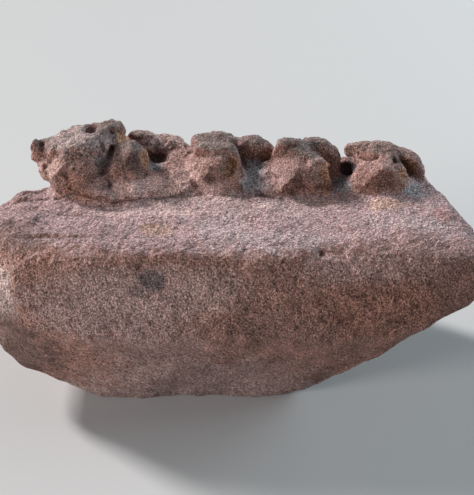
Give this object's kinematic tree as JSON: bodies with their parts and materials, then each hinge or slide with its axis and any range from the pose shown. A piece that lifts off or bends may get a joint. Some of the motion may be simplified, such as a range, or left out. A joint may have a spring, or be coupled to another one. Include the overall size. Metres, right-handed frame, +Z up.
{
  "type": "fossil dinosaur track block",
  "caption": "Loose block of red sandstone whose top back edge carries a knobby fossil track bed of blunt cones, lumps and hollows; a display stone that rests on its flat underside.",
  "frame": {"origin": "middle of the block's bounding box in X and Y, on the surface that the block rests on", "axes": "+X along the block towards its tapering right end, +Y from the worn front face to the broken back under the track bed, +Z up"},
  "size_m": [0.2776, 0.1082, 0.1331],
  "materials": {
    "red_sandstone": "matte, fine-grained natural rock"
  },
  "bodies": {
    "root": {"track_block": "red_sandstone"}
  },
  "joints": []
}
